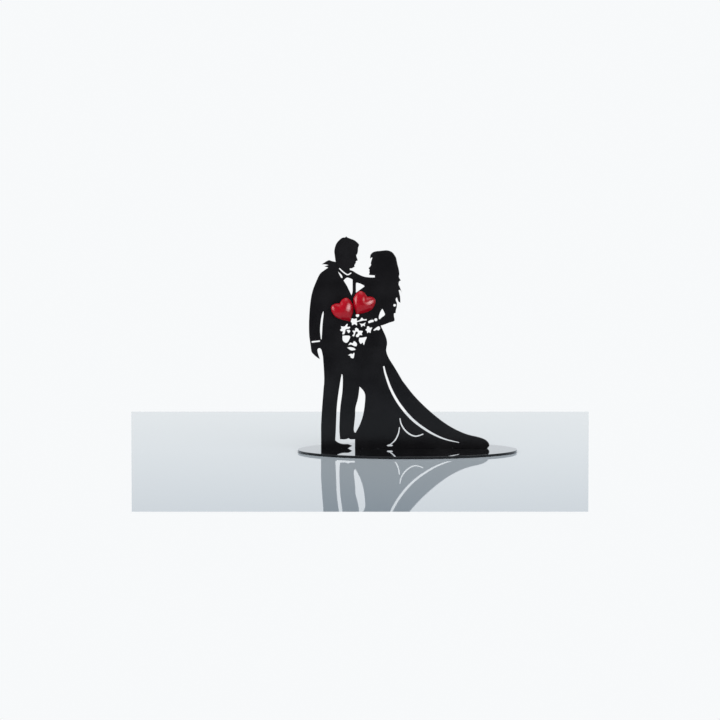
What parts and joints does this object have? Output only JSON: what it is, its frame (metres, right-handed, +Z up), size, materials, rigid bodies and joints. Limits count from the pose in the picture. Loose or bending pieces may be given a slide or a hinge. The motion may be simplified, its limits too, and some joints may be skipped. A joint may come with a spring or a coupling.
{
  "type": "wedding cake topper",
  "caption": "Flat black cut-out of an embracing couple, pierced with a bouquet and gown folds, standing in the slots of a thin oval plate, with domed red hearts on its front.",
  "frame": {"origin": "on the surface the topper stands on, under the middle of the oval plate", "axes": "+Z up, +X along the plate's long axis from the suited figure towards the train, -Y out of the front that carries the hearts"},
  "size_m": [0.18, 0.09, 0.1771],
  "materials": {
    "lacquered_sheet": "satin black lacquer on sheet steel",
    "gloss_plate": "mirror-gloss black lacquer on sheet steel",
    "red_resin": "polished deep red cast resin",
    "adhesive_pad": "off-white double-sided foam",
    "epoxy": "set dark epoxy, slightly sunk",
    "felt": "dense black felt"
  },
  "bodies": {
    "root": {"couple_silhouette": "lacquered_sheet", "base_plate": "gloss_plate", "train_tab_bond": "epoxy", "gown_tab_bond": "epoxy", "shoe_tab_bond": "epoxy", "left_heart": "red_resin", "right_heart": "red_resin", "left_heart_glue_pad": "adhesive_pad", "right_heart_glue_pad": "adhesive_pad", "base_pad_front_left": "felt", "base_pad_rear_left": "felt", "base_pad_front_right": "felt", "base_pad_rear_right": "felt"}
  },
  "joints": []
}
